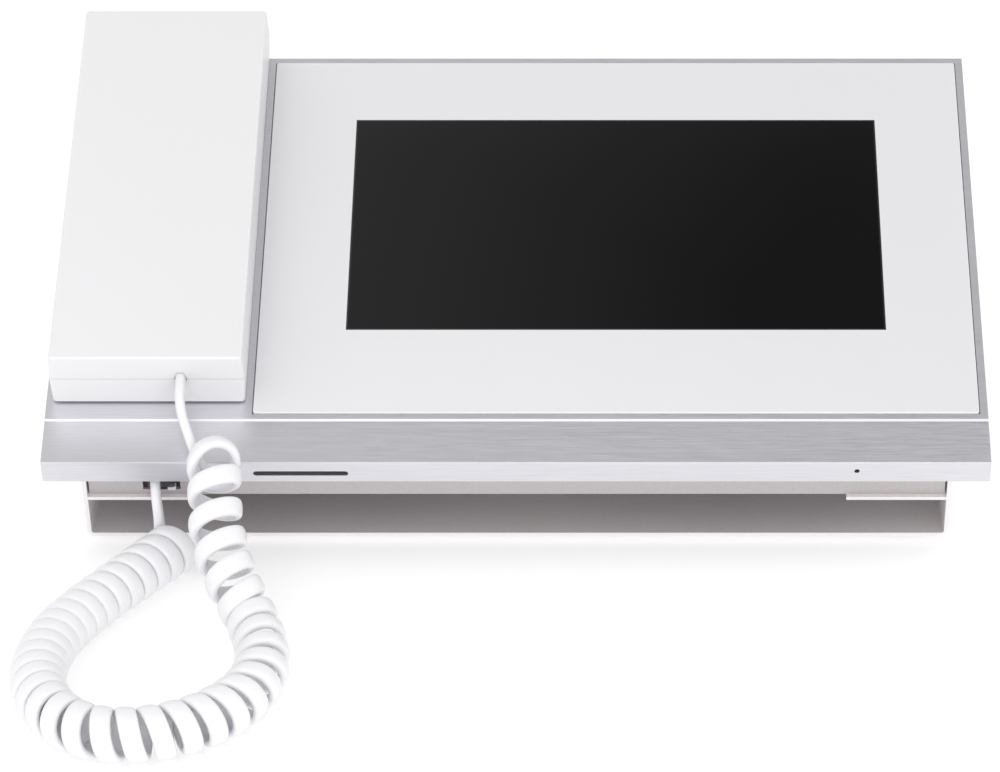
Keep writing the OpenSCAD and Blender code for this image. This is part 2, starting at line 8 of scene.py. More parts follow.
import bmesh
import bpy
import numpy as np
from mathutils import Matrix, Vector


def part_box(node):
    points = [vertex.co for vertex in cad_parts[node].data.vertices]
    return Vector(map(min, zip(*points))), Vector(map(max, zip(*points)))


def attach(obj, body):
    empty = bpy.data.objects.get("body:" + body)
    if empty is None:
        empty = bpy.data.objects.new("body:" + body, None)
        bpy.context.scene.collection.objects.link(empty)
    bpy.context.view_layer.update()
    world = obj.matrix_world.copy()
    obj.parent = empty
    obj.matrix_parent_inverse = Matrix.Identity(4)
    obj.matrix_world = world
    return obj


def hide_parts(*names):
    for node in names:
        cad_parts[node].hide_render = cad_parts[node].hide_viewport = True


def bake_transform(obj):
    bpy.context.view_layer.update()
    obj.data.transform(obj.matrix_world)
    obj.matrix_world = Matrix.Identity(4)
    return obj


# Visual model of a desk-standing video intercom monitor with a corded handset.
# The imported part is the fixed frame. Shapes are worked out in millimetres, in the
# panel's own frame where they belong to the panel, and stored in metres.

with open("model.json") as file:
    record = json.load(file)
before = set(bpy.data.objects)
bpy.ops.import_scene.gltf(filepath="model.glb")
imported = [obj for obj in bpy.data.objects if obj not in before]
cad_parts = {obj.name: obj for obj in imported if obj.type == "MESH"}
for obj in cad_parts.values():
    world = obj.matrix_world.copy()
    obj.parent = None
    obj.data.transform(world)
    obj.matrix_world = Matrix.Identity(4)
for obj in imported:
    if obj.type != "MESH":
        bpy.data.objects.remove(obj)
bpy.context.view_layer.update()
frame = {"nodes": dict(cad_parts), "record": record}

log = logging.getLogger("intercom")
MM = 0.001
Array = np.ndarray

# Points closer than these, in metres, are one point: on a new piece, and on a CAD node's loose triangles
MERGE_NEW = 2e-7
MERGE_CAD = 2e-6

# Faces that meet at less than the first angle are one flat face; edges sharper than the second are broken
FLAT_DEGREES = 0.6
BREAK_DEGREES = 40.0

# Places of the Mix node's two colours among its inputs, and of its colour among its outputs
MIX_A, MIX_B, MIX_COLOUR = 6, 7, 2


class Body(Enum):
    """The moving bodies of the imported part."""

    ROOT = "root"
    HANDSET = "handset"
    PLUNGER = "hook_plunger"


# ---------------------------------------------------------------- geometry


@dataclass(frozen=True)
class Panel:
    """The tilted plane that the front is built on.

    x runs across the width, y up the panel from the glass's lower edge and n out
    of it, with 0 on the glass's face. world = (x, y0 + y cos t - n sin t,
    z0 + y sin t + n cos t).
    """

    tilt: float = 20.0
    module_low: float = 24.9
    module_front: float = -2.2
    module_back: float = -7.2

    def origin(self) -> tuple[float, float]:
        """Finds (y0, z0) in millimetres from the display module's packed box.

        Returns:
            The panel origin's y and z in the part's frame.
        """
        low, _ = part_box("display_module")
        c, s = self.cos_sin()
        y0 = low.y / MM - self.module_low * c + self.module_front * s
        z0 = low.z / MM - self.module_low * s - self.module_back * c
        return y0, z0

    def cos_sin(self) -> tuple[float, float]:
        """Returns the tilt's cosine and sine."""
        t = math.radians(self.tilt)
        return math.cos(t), math.sin(t)

    def place(self, points: Array) -> Array:
        """Turns panel points in millimetres into the part's frame in metres.

        Args:
            points: An array whose last axis holds (x, y, n).

        Returns:
            An array of the same shape, in metres.
        """
        p = np.asarray(points, float)
        y0, z0 = self.origin()
        c, s = self.cos_sin()
        x, y, n = p[..., 0], p[..., 1], p[..., 2]
        return np.stack([x, y0 + y * c - n * s, z0 + y * s + n * c], axis=-1) * MM


PANEL = Panel()


def unit(v: Array) -> Array:
    """Scales each vector to length 1: v / |v|."""
    return v / np.linalg.norm(v, axis=-1, keepdims=True)


def smoothstep(t: Array) -> Array:
    """Eases from 0 to 1: 3t^2 - 2t^3, with t held between 0 and 1."""
    t = np.clip(t, 0.0, 1.0)
    return t * t * (3.0 - 2.0 * t)


def through(points: Sequence[Sequence[float]], steps: int = 24) -> Array:
    """Draws a Catmull-Rom curve through points.

    b + (c-a)t/2 + (2a-5b+4c-d)t^2/2 + (3b-a-3c+d)t^3/2 on each span b to c.

    Args:
        points: The points it passes through.
        steps: Samples on each span.

    Returns:
        The samples, one row each.
    """
    p = np.asarray(points, float)
    q = np.vstack([p[:1], p, p[-1:]])
    a, b, c, d = (q[i:len(q) - 3 + i, None, :] for i in range(4))
    t = np.linspace(0.0, 1.0, steps, endpoint=False)[None, :, None]
    span = 0.5 * (2 * b + (c - a) * t + (2 * a - 5 * b + 4 * c - d) * t**2 + (3 * b - a - 3 * c + d) * t**3)
    return np.vstack([span.reshape(-1, 3), p[-1:]])


def lengths(path: Array) -> Array:
    """Returns the distance along a path at each of its points."""
    return np.concatenate([[0.0], np.cumsum(np.linalg.norm(np.diff(path, axis=0), axis=1))])


def resample(path: Array, step: float) -> Array:
    """Spaces a path's points evenly.

    Args:
        path: The points, one row each.
        step: The distance wanted between points.

    Returns:
        Points evenly spaced along the same line.
    """
    s = lengths(path)
    t = np.linspace(0.0, s[-1], max(2, int(round(s[-1] / step)) + 1))
    return np.stack([np.interp(t, s, path[:, i]) for i in range(3)], axis=1)


def rounded_ring(half_x: float, half_y: float, radius: float, arc: int) -> Array:
    """A rounded rectangle: corner centre + r (cos a, sin a), a over a quarter turn at each corner.

    Args:
        half_x: Half its width.
        half_y: Half its height.
        radius: Corner radius.
        arc: Points on each corner.

    Returns:
        (4 * arc, 2) points, counter-clockwise.
    """
    turn = np.linspace(0.0, math.pi / 2, arc)
    corner = np.repeat(np.arange(4), arc)
    a = np.tile(turn, 4) + corner * math.pi / 2
    sx = np.array([1, -1, -1, 1])[corner]
    sy = np.array([1, 1, -1, -1])[corner]
    x = sx * (half_x - radius) + radius * np.cos(a)
    y = sy * (half_y - radius) + radius * np.sin(a)
    return np.stack([x, y], axis=1)


def quads(rows: int, cols: int) -> Array:
    """Faces of a grid whose columns close on themselves.

    Args:
        rows: Rings of points.
        cols: Points on each ring.

    Returns:
        (faces, 4) vertex numbers.
    """
    r = np.arange(rows - 1)[:, None]
    c = np.arange(cols)[None, :]
    n, d = r + 1, (c + 1) % cols
    return np.stack([r * cols + c, r * cols + d, n * cols + d, n * cols + c], axis=-1).reshape(-1, 4)


def make_piece(name: str, points: Array, faces: list[list[int]], smooth: float = 35.0) -> bpy.types.Object:
    """Puts points and faces into a mesh object at the origin.

    Args:
        name: The piece's name.
        points: Vertices in metres.
        faces: Vertex numbers of each face.
        smooth: Edges sharper than this many degrees stay crisp.

    Returns:
        The new object.
    """
    mesh = bpy.data.meshes.new(name)
    mesh.from_pydata(np.asarray(points, float).reshape(-1, 3), [], faces)
    mesh.update()
    piece = bpy.data.objects.new(name, mesh)
    bpy.context.scene.collection.objects.link(piece)
    tidy(piece, smooth)
    return piece


def tidy(piece: bpy.types.Object, smooth: float) -> None:
    """Merges doubles, turns faces outwards and shades a mesh smooth with crisp edges.

    Args:
        piece: The mesh object.
        smooth: Edges sharper than this many degrees stay crisp.
    """
    work = bmesh.new()
    work.from_mesh(piece.data)
    bmesh.ops.remove_doubles(work, verts=work.verts, dist=MERGE_NEW)
    bmesh.ops.recalc_face_normals(work, faces=work.faces)
    limit = math.radians(smooth)
    for edge in work.edges:
        edge.smooth = len(edge.link_faces) == 2 and edge.calc_face_angle(0.0) < limit
    for face in work.faces:
        face.smooth = True
    work.to_mesh(piece.data)
    work.free()


def ring_solid(name: str, rings: Array, smooth: float = 35.0) -> bpy.types.Object:
    """Closes a stack of rings into a solid, with a flat face on each end.

    Args:
        name: The piece's name.
        rings: (rings, points, 3) in metres.
        smooth: Edges sharper than this many degrees stay crisp.

    Returns:
        The new object.
    """
    rows, cols = rings.shape[:2]
    faces = quads(rows, cols).tolist()
    faces.append(list(range(cols)))
    faces.append(list(range((rows - 1) * cols, rows * cols))[::-1])
    return make_piece(name, rings.reshape(-1, 3), faces, smooth)


def edge_round(radius: float, steps: int = 5) -> Array:
    """A quarter round as (inset, drop) pairs: (r - r cos a, r - r sin a)."""
    a = np.linspace(0.0, math.pi / 2, steps)
    return np.stack([radius - radius * np.cos(a), radius - radius * np.sin(a)], axis=1)


def softened(node: str, name: str, width: float, segments: int = 2,
             crisp: float = 30.0) -> bpy.types.Object:
    """Copies a CAD node, merges its triangles into faces and breaks its sharp edges.

    Args:
        node: The CAD node to copy and stand for.
        name: The new piece's name.
        width: Width of the broken edge in millimetres, or 0 to leave the edges as cut.
        segments: Facets across the broken edge.
        crisp: Edges sharper than this many degrees are not shaded across.

    Returns:
        The new object, which replaces the node.
    """
    source = frame["nodes"][node]
    work = bmesh.new()
    work.from_mesh(source.data)
    bmesh.ops.remove_doubles(work, verts=work.verts, dist=MERGE_CAD)
    if width > 0:
        bmesh.ops.dissolve_limit(work, angle_limit=math.radians(FLAT_DEGREES), verts=work.verts,
                                 edges=work.edges)
    for edge in work.edges:
        edge.smooth = edge.calc_face_angle(0.0) < math.radians(crisp)
    mesh = bpy.data.meshes.new(name)
    work.to_mesh(mesh)
    work.free()
    piece = bpy.data.objects.new(name, mesh)
    bpy.context.scene.collection.objects.link(piece)
    for polygon in mesh.polygons:
        polygon.use_smooth = True
    if width > 0:
        bevel = piece.modifiers.new("edge_break", "BEVEL")
        bevel.width = width * MM
        bevel.segments = segments
        bevel.limit_method = "ANGLE"
        bevel.angle_limit = math.radians(BREAK_DEGREES)
        bevel.use_clamp_overlap = True
        bevel.harden_normals = True
    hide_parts(node)
    return piece


def dress(piece: bpy.types.Object, material: bpy.types.Material,
          body: Body | None) -> bpy.types.Object:
    """Gives a piece its finish and the body that it rides on.

    Args:
        piece: The mesh object.
        material: Its finish.
        body: The body it rides on, or None for a blended piece.

    Returns:
        The same object.
    """
    piece.data.materials.clear()
    piece.data.materials.append(material)
    if body is not None:
        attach(piece, body.value)
    log.info("%s: %d faces, %s", piece.name, len(piece.data.polygons), material.name)
    return piece


# ---------------------------------------------------------------- finishes


def linear(colour: str) -> tuple[float, float, float, float]:
    """Turns an sRGB hex colour into linear light: ((c + 0.055) / 1.055)^2.4, or c / 12.92 in the darks."""
    c = np.array([int(colour[i:i + 2], 16) for i in (1, 3, 5)]) / 255.0
    lit = np.where(c <= 0.04045, c / 12.92, ((c + 0.055) / 1.055) ** 2.4)
    return (float(lit[0]), float(lit[1]), float(lit[2]), 1.0)


def add_node(tree: bpy.types.NodeTree, kind: str, settings: dict[str, Any] | None = None,
             **inputs: Any) -> bpy.types.Node:
    """Adds a node, sets it and links it.

    Args:
        tree: The material's or the world's node tree.
        kind: The node's type name.
        settings: Properties of the node.
        **inputs: Values or output sockets by input name; _0, _1 name an input by its place.

    Returns:
        The new node.
    """
    node = tree.nodes.new(kind)
    for key, value in (settings or {}).items():
        setattr(node, key, value)
    for key, value in inputs.items():
        socket = node.inputs[int(key[1:])] if key[1:].isdigit() else node.inputs[key.replace("_", " ")]
        if isinstance(value, bpy.types.NodeSocket):
            tree.links.new(value, socket)
        else:
            socket.default_value = value
    return node


@dataclass(frozen=True)
class Finish:
    """A surface finish: what the material is and how it was made.

    The pattern is a noise of the given grain in millimetres, which varies the
    colour between shade and colour, the roughness by sway, and lifts the surface
    by relief millimetres. stretch makes the grain longer along x, as rolling and
    brushing do. clear is how much light passes through and glow is light of its own.
    """

    name: str
    colour: str
    shade: str
    metallic: float = 0.0
    roughness: float = 0.5
    sway: float = 0.06
    grain: float = 0.5
    stretch: float = 1.0
    relief: float = 0.01
    detail: float = 3.0
    ior: float = 1.5
    clear: float = 0.0
    glow: float = 0.0

    def start(self) -> tuple[bpy.types.Material, bpy.types.NodeTree, bpy.types.Node, bpy.types.NodeSocket]:
        """Makes the material's shader and its Object coordinates.

        Returns:
            The material, its tree, its shader and the Object coordinates.
        """
        material = bpy.data.materials.new(self.name)
        material.use_nodes = True
        tree = material.node_tree
        tree.nodes.clear()
        shader = add_node(tree, "ShaderNodeBsdfPrincipled", None, Metallic=self.metallic,
                          Roughness=self.roughness, IOR=self.ior)
        shader.inputs["Transmission Weight"].default_value = self.clear
        shader.inputs["Emission Color"].default_value = linear("#FFFFFF")
        shader.inputs["Emission Strength"].default_value = self.glow
        add_node(tree, "ShaderNodeOutputMaterial", None, Surface=shader.outputs["BSDF"])
        place = add_node(tree, "ShaderNodeTexCoord").outputs["Object"]
        return material, tree, shader, place

    def grained(self, tree: bpy.types.NodeTree, place: bpy.types.NodeSocket, grain: float,
                stretch: float) -> bpy.types.NodeSocket:
        """Adds the grain: a noise with one cycle to each grain width, stretched along x.

        Args:
            tree: The material's tree.
            place: The coordinates it is laid out on.
            grain: Grain width in millimetres.
            stretch: How many times longer it is along x.

        Returns:
            The noise from 0 to 1.
        """
        fine = 1.0 / (grain * MM)
        mapped = add_node(tree, "ShaderNodeMapping", None, Vector=place, Scale=(fine / stretch, fine, fine))
        return add_node(tree, "ShaderNodeTexNoise", None, Vector=mapped.outputs["Vector"], Scale=1.0,
                        Detail=self.detail, Roughness=0.55).outputs["Fac"]

    def paint(self, tree: bpy.types.NodeTree, shader: bpy.types.Node, noise: bpy.types.NodeSocket) -> None:
        """Links the grain to the shader's colour, roughness and relief.

        Args:
            tree: The material's tree.
            shader: Its shader.
            noise: The grain from 0 to 1.
        """
        ramp = add_node(tree, "ShaderNodeMix", {"data_type": "RGBA"}, _0=noise)
        ramp.inputs[MIX_A].default_value = linear(self.shade)
        ramp.inputs[MIX_B].default_value = linear(self.colour)
        tree.links.new(ramp.outputs[MIX_COLOUR], shader.inputs["Base Color"])
        rough = add_node(tree, "ShaderNodeMapRange", None, Value=noise)
        rough.inputs["From Min"].default_value, rough.inputs["From Max"].default_value = 0.3, 0.7
        rough.inputs["To Min"].default_value = self.roughness + self.sway
        rough.inputs["To Max"].default_value = self.roughness - self.sway
        tree.links.new(rough.outputs["Result"], shader.inputs["Roughness"])
        bump = add_node(tree, "ShaderNodeBump", None, Height=noise, Strength=0.6, Distance=self.relief * MM)
        tree.links.new(bump.outputs["Normal"], shader.inputs["Normal"])

    def build(self) -> bpy.types.Material:
        """Returns the finished material."""
        material, tree, shader, place = self.start()
        self.paint(tree, shader, self.grained(tree, place, self.grain, self.stretch))
        return material


@dataclass(frozen=True)
class BrushedAluminium(Finish):
    """Anodised aluminium, brushed along its width: fine lines of many lengths and a soft sheen."""

    coarse_grain: float = 3.4
    coarse_stretch: float = 0.7
    coarse_share: float = 0.3

    def build(self) -> bpy.types.Material:
        """Adds a coarser set of lines to the fine ones, so that single scratches show.

        Returns:
            The finished material.
        """
        material, tree, shader, place = self.start()
        fine = self.grained(tree, place, self.grain, self.stretch)
        coarse = self.grained(tree, place, self.grain * self.coarse_grain,
                              self.stretch * self.coarse_stretch)
        both = add_node(tree, "ShaderNodeMix", {"data_type": "FLOAT"}, _0=self.coarse_share, _2=fine,
                        _3=coarse)
        self.paint(tree, shader, both.outputs[0])
        return material


@dataclass(frozen=True)
class PrintedGlass(Finish):
    """Toughened glass printed white on its back, with a black window, and polished edges."""

    window: tuple[float, float, float, float] = (-49.1, 104.9, 31.9, 117.9)
    ink: str = "#08080A"
    line: float = 0.35
    line_colour: str = "#2A2A2D"
    print_fade: float = 0.08
    line_fade: float = 0.3

    def build(self) -> bpy.types.Material:
        """Prints the window, where min(x - left, right - x, y - low, high - y) > 0, inside a thin grey line.

        Returns:
            The finished material.
        """
        material, tree, shader, place = self.start()
        y0, z0 = PANEL.origin()
        flat = add_node(tree, "ShaderNodeMapping", {"vector_type": "TEXTURE"}, Vector=place,
                        Location=(0.0, y0 * MM, z0 * MM), Rotation=(math.radians(PANEL.tilt), 0.0, 0.0),
                        Scale=(MM, MM, MM))
        axes = add_node(tree, "ShaderNodeSeparateXYZ", None, Vector=flat.outputs["Vector"])
        left, right, low, high = self.window
        x, y = axes.outputs["X"], axes.outputs["Y"]
        sides = [self.side(tree, x, left, 1.0), self.side(tree, x, right, -1.0),
                 self.side(tree, y, low, 1.0), self.side(tree, y, high, -1.0)]
        inside = sides[0]
        for other in sides[1:]:
            inside = add_node(tree, "ShaderNodeMath", {"operation": "MINIMUM"}, _0=inside,
                              _1=other).outputs[0]
        dark = add_node(tree, "ShaderNodeMapRange", {"interpolation_type": "SMOOTHSTEP"}, Value=inside)
        dark.inputs["From Min"].default_value = -self.print_fade
        dark.inputs["From Max"].default_value = self.print_fade
        edge = add_node(tree, "ShaderNodeMapRange", {"interpolation_type": "SMOOTHSTEP"}, Value=inside)
        edge.inputs["From Min"].default_value = self.line
        edge.inputs["From Max"].default_value = self.line + self.line_fade
        cloud = self.grained(tree, place, self.grain, self.stretch)
        white = add_node(tree, "ShaderNodeMix", {"data_type": "RGBA"}, _0=cloud)
        white.inputs[MIX_A].default_value = linear(self.shade)
        white.inputs[MIX_B].default_value = linear(self.colour)
        rim = add_node(tree, "ShaderNodeMix", {"data_type": "RGBA"}, _0=edge.outputs["Result"])
        rim.inputs[MIX_A].default_value = linear(self.line_colour)
        rim.inputs[MIX_B].default_value = linear(self.ink)
        whole = add_node(tree, "ShaderNodeMix", {"data_type": "RGBA"}, _0=dark.outputs["Result"])
        tree.links.new(white.outputs[MIX_COLOUR], whole.inputs[MIX_A])
        tree.links.new(rim.outputs[MIX_COLOUR], whole.inputs[MIX_B])
        tree.links.new(whole.outputs[MIX_COLOUR], shader.inputs["Base Color"])
        return material

    def side(self, tree: bpy.types.NodeTree, axis: bpy.types.NodeSocket, at: float,
             sign: float) -> bpy.types.NodeSocket:
        """Measures how far inside one side of the window a point is: sign * (axis - at).

        Args:
            tree: The material's tree.
            axis: The coordinate in millimetres.
            at: Where the side is.
            sign: 1 for a low side and -1 for a high one.

        Returns:
            The distance in millimetres.
        """
        return add_node(tree, "ShaderNodeMath", {"operation": "MULTIPLY_ADD"}, _0=axis, _1=sign,
                        _2=-sign * at).outputs[0]


@dataclass(frozen=True)
class ExtrudedJacket(Finish):
    """Soft thermoplastic cord jacket: faint drawing lines along its length, on the piece's own UV."""

    lines: float = 26.0
    lines_along: float = 0.12

    def build(self) -> bpy.types.Material:
        """Lays the grain on the UV map: u goes once round the jacket, v along it in millimetres.

        Returns:
            The finished material.
        """
        material, tree, shader, _ = self.start()
        uv = add_node(tree, "ShaderNodeTexCoord").outputs["UV"]
        mapped = add_node(tree, "ShaderNodeMapping", None, Vector=uv,
                          Scale=(self.lines, self.lines_along, 1.0))
        noise = add_node(tree, "ShaderNodeTexNoise", None, Vector=mapped.outputs["Vector"], Scale=1.0,
                         Detail=self.detail, Roughness=0.5)
        self.paint(tree, shader, noise.outputs["Fac"])
        return material


FINISHES: dict[str, Finish] = {
    # Anodised aluminium, brushed along its width: a satin face with fine level lines. Real lines are finer
    # than 0.1 mm, so they are drawn at 0.24 mm to show
    "brushed_aluminium": BrushedAluminium("brushed_anodised_aluminium", "#ECEBF0", "#D0CFD5", 1.0, 0.40, 0.08,
                                          grain=0.24, stretch=38.0, relief=0.006, detail=3.0),
    # Toughened glass, printed behind: an even white under a sharp reflection
    "white_glass": PrintedGlass("white_printed_glass", "#DBDBDE", "#D8D8DC", 0.0, 0.06, 0.0, grain=60.0,
                                ior=1.5),
    # Polariser film on the display: near black, a little dull
    "display_black": Finish("display_polariser", "#0A0A0C", "#070708",
                            roughness=0.25, grain=0.2, relief=0.002),
    # Zinc-coated sheet steel, rolled: cool grey, faintly streaked. Its spangle is drawn small, at 0.32 mm
    "zinc_steel": Finish("zinc_coated_sheet_steel", "#C8C3C4", "#B0ABAC", 0.6, 0.46, 0.10, grain=0.32,
                         stretch=2.6, relief=0.010, detail=4.0),
    # Zinc-plated steel screws: bright, lightly clouded by the plating
    "screw_steel": Finish("zinc_plated_screw", "#B9B9BD", "#97979C",
                          1.0, 0.32, 0.08, grain=0.25, relief=0.006),
    # Moulded rubber feet: matt black with a slight tooth
    "black_rubber": Finish("moulded_black_rubber", "#2A2A2C", "#202022",
                           roughness=0.8, grain=0.3, relief=0.02),
    # Soft bumper rubber: pale and translucent in life, made here as a pale satin surface
    "clear_rubber": Finish("soft_bumper_rubber", "#DADADC", "#CACACD",
                           roughness=0.45, grain=0.4, relief=0.006),
    # Glass-fibre board with solder resist: half-gloss green. A streaked mottle at 0.35 mm stands for the weave
    "board_laminate": Finish("green_board_laminate", "#1F6B45", "#18573A", roughness=0.38, grain=0.35,
                             stretch=3.0, relief=0.01),
    # Turned brass: warm metal. Fine streaks along x stand for tool marks, drawn at 0.12 mm
    "pillar_brass": Finish("turned_brass", "#D2B46C", "#B6964E", 1.0, 0.3, 0.06, grain=0.12, stretch=12.0),
    # Polyimide film: smooth translucent amber, made here as an opaque sheen
    "flex_amber": Finish("amber_film", "#C98A3C", "#B57830", roughness=0.35, grain=0.8, stretch=6.0),
    # Moulded black plastic: satin black with a fine spark-eroded texture, drawn at 0.3 mm
    "black_plastic": Finish("moulded_black_plastic", "#26262A", "#1D1D20",
                            roughness=0.5, grain=0.3, relief=0.012),
    # Moulded green plastic, as on terminal blocks: satin
    "green_plastic": Finish("moulded_green_plastic", "#2F7D4F", "#286C44", roughness=0.42, grain=0.4),
    # Moulded red plastic: satin
    "red_plastic": Finish("moulded_red_plastic", "#B9402F", "#A03526", roughness=0.4, grain=0.4),
    # Nickel-plated pressed can: bright metal with a soft reflection
    "can_metal": Finish("nickel_plated_can", "#C9CBCD", "#B2B4B7", 1.0, 0.22, 0.05, grain=0.3, relief=0.004),
    # Cast iron: rough dark grey with grains of about a millimetre
    "cast_weight": Finish("cast_iron_weight", "#6E6E72", "#57575B", 1.0, 0.62, 0.1, grain=0.9, relief=0.05),
    # Moulded white plastic: even white satin with a texture too fine to see, drawn at 0.28 mm
    "white_plastic": Finish("moulded_white_plastic", "#DFDFE1", "#DCDCDE", roughness=0.36, sway=0.04,
                            grain=0.28, relief=0.004, detail=2.0, ior=1.52),
    # Extruded soft jacket: white satin with faint lines along it, drawn coarse enough to show
    "cord_white": ExtrudedJacket("white_cord_jacket", "#E6E6E9", "#E2E2E5", roughness=0.34, sway=0.05,
                                 relief=0.01),
    # Moulded clear plastic: see-through with sharp highlights
    "clear_plastic": Finish("clear_plug_plastic", "#A9ADB0", "#94989B", roughness=0.12, grain=1.2,
                            relief=0.004, clear=0.9),
}

# The stand's sheet: the box's zinc steel drawn paler and duller, with little mirror to it. The paleness is
# painted light, which lifts the shaded floor inside the stand's mouth;
# whether the real sheet is paler is a guess. Its metallic value is lower than bare zinc's for the same painted
# light, and the stand also looks paler than the box
STAND_SHEET_PAINTED_LIGHTER = Finish("stand_sheet_painted_lighter", "#F2EEEF", "#DAD5D6", 0.2, 0.48, 0.10, grain=0.32, stretch=2.6,
                     relief=0.01, detail=4.0)

# The sheet's cut edge: taken as bare metal, and drawn near white with a painted highlight, since these faces
# look down at shaded floor: a bright thin line along the front of the stand
SHEARED_EDGE_PAINTED_BRIGHT = Finish("sheared_edge_painted_bright", "#FCFAFA", "#E6E2E2", 0.75, 0.38, 0.08, grain=0.2, stretch=4.0,
                      relief=0.01)


class Wardrobe:
    """Builds each finish once and hands it out by the record's slot."""

    def __init__(self) -> None:
        """Starts with nothing built."""
        self.built: dict[str, bpy.types.Material] = {}

    def get(self, slot: str) -> bpy.types.Material:
        """Returns the material of a slot, building it the first time."""
        if slot not in self.built:
            self.built[slot] = FINISHES[slot].build()
        return self.built[slot]

    def dress_frame(self) -> None:
        """Puts each slot's finish on the CAD nodes that stay in view."""
        for subpart in frame["record"]["subparts"]:
            node = frame["nodes"][subpart["node"]]
            for holder in node.material_slots:
                holder.material = self.get(subpart["material_slot"])


# ---------------------------------------------------------------- studio


@dataclass
class Softbox:
    """One large soft lamp."""

    name: str
    place: tuple[float, float, float]
    target: tuple[float, float, float]
    size: tuple[float, float]
    power: float

    def build(self) -> None:
        """Makes an area lamp that faces its target."""
        data = bpy.data.lights.new(self.name, "AREA")
        data.shape = "RECTANGLE"
        data.size, data.size_y = self.size
        data.energy = self.power
        lamp = bpy.data.objects.new(self.name, data)
        lamp.location = self.place
        lamp.rotation_euler = (Vector(self.target) - Vector(self.place)).to_track_quat("-Z", "Y").to_euler()
        bpy.context.scene.collection.objects.link(lamp)


@dataclass
class Studio:
    """Pale lit floor, soft lamps and the camera that looks down at the monitor."""

    lens: float = 168.5
    shift: tuple[float, float] = (-0.1072, 0.0)
    place: tuple[float, float, float] = (0.0254, -1.22568, 0.64788)
    look_down: float = 27.21
    tent: float = 1.06
    flag: float = 0.30
    flag_slope: float = 1.6
    flag_towards: tuple[float, float, float] = (0.0, 0.345, 0.938)
    flag_fade: tuple[float, float] = (0.978, 0.915)
    flag_range: tuple[float, float] = (0.12, 0.6)
    floor_half: float = 6.0
    floor_squares: int = 12
    floor_drop: float = 0.0002
    lamps: list[Softbox] = field(default_factory=lambda: [
        Softbox("key_softbox", (-0.5, -0.75, 1.3), (0.0, 0.0, 0.03), (0.8, 0.8), 2.2),
        Softbox("front_softbox", (0.2, -1.7, 0.45), (0.0, 0.0, 0.03), (1.4, 0.5), 7.5),
        Softbox("low_softbox", (0.1, -1.5, 0.14), (0.0, 0.0, 0.02), (1.2, 0.2), 0.3),
    ])

    def camera(self) -> None:
        """Makes the camera at the viewing angle: turned 90 degrees less the look-down angle about x."""
        data = bpy.data.cameras.new("studio_camera")
        data.lens = self.lens
        data.sensor_width = 36.0
        data.shift_x, data.shift_y = self.shift
        data.clip_start, data.clip_end = 0.05, 50.0
        camera = bpy.data.objects.new("studio_camera", data)
        camera.location = self.place
        camera.rotation_euler = (math.radians(90.0 - self.look_down), 0.0, 0.0)
        bpy.context.scene.collection.objects.link(camera)
        bpy.context.scene.camera = camera

    def floor(self) -> None:
        """Lays a wide flat floor at z = 0 with a faint mottle."""
        side = self.floor_squares + 1
        at = np.linspace(-self.floor_half, self.floor_half, side)
        u, v = np.meshgrid(at, at, indexing="ij")
        points = np.stack([u, v, np.full_like(u, -self.floor_drop)], axis=-1)
        r, c = np.meshgrid(np.arange(side - 1), np.arange(side - 1), indexing="ij")
        low, high = r * side + c, (r + 1) * side + c
        faces = np.stack([low, high, high + 1, low + 1], axis=-1)
        piece = make_piece("studio_floor", points, faces.reshape(-1, 4).tolist())
        paper = Finish("backdrop_paper", "#C8C8C8", "#C6C6C6", roughness=0.95, sway=0.02, grain=40.0,
                       relief=0.0, glow=0.5)
        piece.data.materials.append(paper.build())

    def surroundings(self) -> None:
        """Makes a white light tent with a dark flag overhead, which keeps the screen black.

        strength = tent outside the flag and flag - slope x inside it, blended over
        the angle from the flag's direction.
        """
        world = bpy.data.worlds.new("studio_tent")
        bpy.context.scene.world = world
        world.use_nodes = True
        tree = world.node_tree
        tree.nodes.clear()
        way = add_node(tree, "ShaderNodeTexCoord").outputs["Generated"]
        near = add_node(tree, "ShaderNodeVectorMath", {"operation": "DOT_PRODUCT"}, _0=way,
                        _1=self.flag_towards)
        outside = add_node(tree, "ShaderNodeMapRange", {"interpolation_type": "SMOOTHSTEP"},
                           Value=near.outputs["Value"])
        outside.inputs["From Min"].default_value, outside.inputs["From Max"].default_value = self.flag_fade
        across = add_node(tree, "ShaderNodeSeparateXYZ", None, Vector=way).outputs["X"]
        dark = add_node(tree, "ShaderNodeMath", {"operation": "MULTIPLY_ADD"}, _0=across, _1=-self.flag_slope,
                        _2=self.flag)
        held = add_node(tree, "ShaderNodeClamp", None, Value=dark.outputs[0], Min=self.flag_range[0],
                        Max=self.flag_range[1])
        power = add_node(tree, "ShaderNodeMix", {"data_type": "FLOAT"}, _0=outside.outputs["Result"],
                         _2=held.outputs[0], _3=self.tent)
        back = add_node(tree, "ShaderNodeBackground", None, Strength=power.outputs[0])
        back.inputs["Color"].default_value = linear("#FFFFFE")
        add_node(tree, "ShaderNodeOutputWorld", None, Surface=back.outputs[0])

    def build(self) -> None:
        """Builds the camera, the floor, the surroundings and the lamps."""
        self.camera()
        self.floor()
        self.surroundings()
        for lamp in self.lamps:
            lamp.build()
        bpy.context.scene.view_settings.view_transform = "Standard"
        log.info("studio: %d lamps", len(self.lamps))


# ---------------------------------------------------------------- cord


